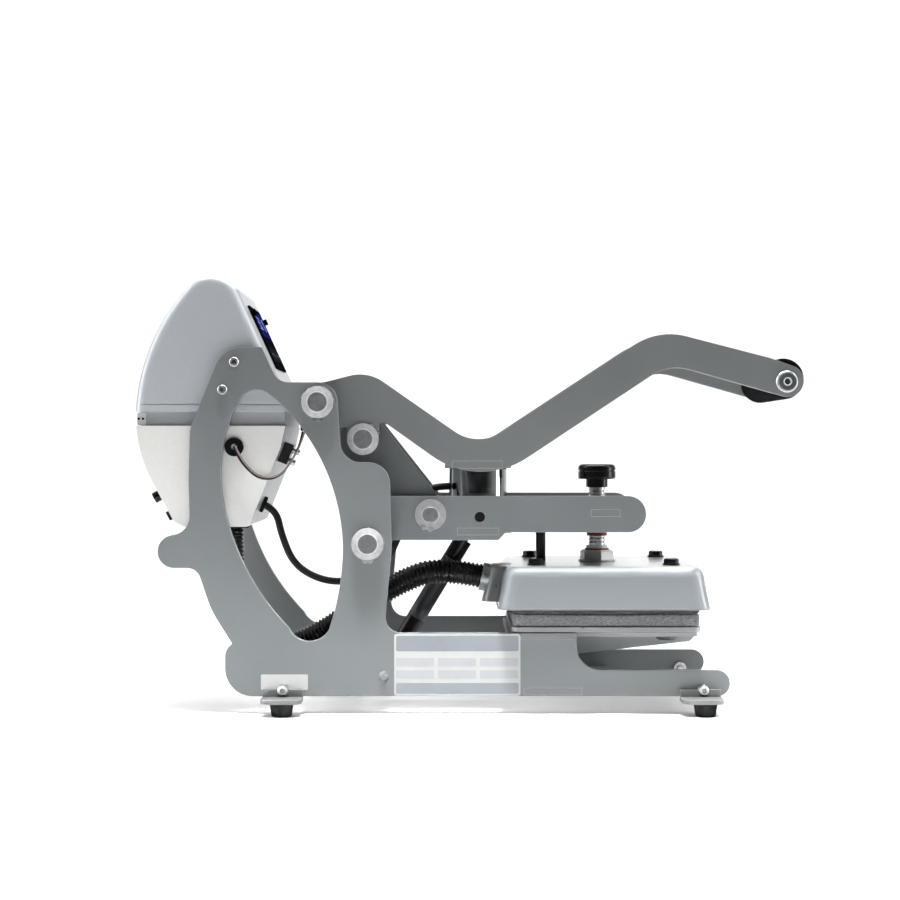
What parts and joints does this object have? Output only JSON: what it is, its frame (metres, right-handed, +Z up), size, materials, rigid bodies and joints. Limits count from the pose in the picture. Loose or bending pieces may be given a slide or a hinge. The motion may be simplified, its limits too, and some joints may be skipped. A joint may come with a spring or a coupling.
{
  "type": "clamshell heat press",
  "caption": "Clamshell heat press: an over-centre lever and link close a heated platen on arms over a padded lower platen; slanted controller behind; stands on rubber feet.",
  "frame": {"origin": "on the floor under the middle of the press, between the side plates", "axes": "+X towards the operator's end with the handle, +Y to the far side, +Z up"},
  "size_m": [0.5328, 0.2, 0.3467],
  "materials": {
    "grey_paint": "grey powder coat over laser cut steel",
    "dark_paint": "dark grey powder coat",
    "silver_paint": "silver paint",
    "cast_cover": "silver painted casting",
    "tray_coat": "pale satin coat",
    "zinc_steel": "bright zinc plated steel",
    "polished": "polished steel",
    "platen_metal": "machined aluminium",
    "dark_gland": "grey cast aluminium",
    "coated_platen": "dark release coat over machined aluminium",
    "black_steel": "blackened bolt in a bright cup washer",
    "black_rubber": "matt black rubber",
    "black_plastic": "black moulded plastic",
    "gloss_black": "gloss black panel",
    "display": "blue lit display",
    "seal_red": "dark red sealing ring",
    "pad_cover": "dark grey woven cover over sponge",
    "strut_black": "black painted tube",
    "wire_skin": "thin wire insulation"
  },
  "bodies": {
    "base": {"near_side_plate": "grey_paint", "far_side_plate": "grey_paint", "base_cross_plates": "grey_paint", "lever_pivot_pin": "zinc_steel", "arm_pivot_pin": "zinc_steel", "retaining_rings": "zinc_steel", "strut_foot_pin": "grey_paint", "lower_platen": "platen_metal", "platen_pad": "pad_cover", "platen_carrier": "grey_paint", "platen_lock": "zinc_steel", "foot_brackets": "zinc_steel", "rubber_feet": "black_rubber", "plate_screws": "zinc_steel", "controller_housing": "silver_paint", "controller_tray": "tray_coat", "control_panel": "gloss_black", "display_window": "display", "power_fittings": "black_plastic", "grommets": "black_rubber", "sensor_switch": "black_plastic", "terminal_block": "black_plastic", "heater_hose": "black_plastic", "magnet_cable": "black_rubber", "sensor_wires": "wire_skin"},
    "lever": {"lever_arm_near": "grey_paint", "lever_arm_far": "grey_paint", "lever_pivot_tube": "zinc_steel", "handle_grip": "black_rubber", "grip_bolts": "black_steel", "strike_plate": "grey_paint", "lever_pins": "zinc_steel"},
    "link": {"link_near": "dark_paint", "link_far": "dark_paint", "link_shaft": "zinc_steel", "link_tube": "zinc_steel"},
    "arm": {"press_arm_near": "grey_paint", "press_arm_far": "grey_paint", "arm_pivot_tube": "zinc_steel", "magnet_plate": "grey_paint", "arm_lower_plate": "grey_paint", "plate_bolts": "zinc_steel", "electromagnet": "polished", "nut_plate": "grey_paint", "nut_bushing": "zinc_steel", "seal_ring": "seal_red", "link_pin": "zinc_steel", "strut_head_pins": "strut_black"},
    "strut_body": {"strut_cylinder": "strut_black"},
    "strut_shaft": {"strut_rod": "polished"},
    "press_head": {"platen_cover": "cast_cover", "heat_platen": "coated_platen", "cap_nuts": "black_plastic", "hex_retainer": "zinc_steel", "guide_pin": "black_plastic", "hose_gland": "dark_gland"},
    "pressure_dial": {"pressure_knob": "black_plastic", "pressure_screw": "zinc_steel"},
    "rocker": {"power_switch": "black_plastic"},
    "breaker": {"breaker_button": "black_plastic"}
  },
  "joints": [
    {"name": "arm_hinge", "type": "hinge", "parent": "base", "child": "arm", "pos_m": [-0.0806, 0, 0.1339], "axis": [0, -1, 0], "range_deg": [0, 42], "deforming": ["heater_hose", "magnet_cable"]},
    {"name": "lever_hinge", "type": "hinge", "parent": "base", "child": "lever", "pos_m": [-0.12, 0, 0.2455], "axis": [0, -1, 0], "range_deg": [0, 61]},
    {"name": "link_hinge", "type": "hinge", "parent": "arm", "child": "link", "pos_m": [-0.0312, 0, 0.1564], "axis": [0, -1, 0], "range_deg": [-70.6, 0]},
    {"name": "strut_hinge", "type": "hinge", "parent": "base", "child": "strut_body", "pos_m": [-0.0679, 0, 0.0294], "axis": [0, -1, 0], "range_deg": [0, 18.9]},
    {"name": "strut_slide", "type": "slide", "parent": "strut_body", "child": "strut_shaft", "axis": [0.5187, 0, 0.8549], "range_m": [0, 0.0371]},
    {"name": "platen_slide", "type": "slide", "parent": "arm", "child": "press_head", "axis": [0, 0, 1], "range_m": [0, 0.006], "deforming": ["heater_hose"]},
    {"name": "pressure_turn", "type": "hinge", "parent": "press_head", "child": "pressure_dial", "pos_m": [0.106, 0, 0.185], "axis": [0, 0, 1], "range_deg": [0, 720.1]},
    {"name": "power_rock", "type": "hinge", "parent": "base", "child": "rocker", "pos_m": [-0.23875, -0.044, 0.15619], "axis": [-0.4771, 0, 0.8789], "range_deg": [0, 14]},
    {"name": "breaker_push", "type": "slide", "parent": "base", "child": "breaker", "axis": [0.8789, 0, 0.4771], "range_m": [0, 0.0018], "stiffness_N_per_m": 400, "springref_m": -0.0005}
  ],
  "couplings": [
    {"joint": "lever_hinge", "follows": "arm_hinge", "ratio": 1.4504},
    {"joint": "link_hinge", "follows": "arm_hinge", "ratio": -1.6786},
    {"joint": "strut_hinge", "follows": "arm_hinge", "ratio": 0.44884},
    {"joint": "strut_slide", "follows": "arm_hinge", "m_per_rad": 0.050534},
    {"joint": "pressure_turn", "follows": "platen_slide", "rad_per_m": 2094.4}
  ]
}
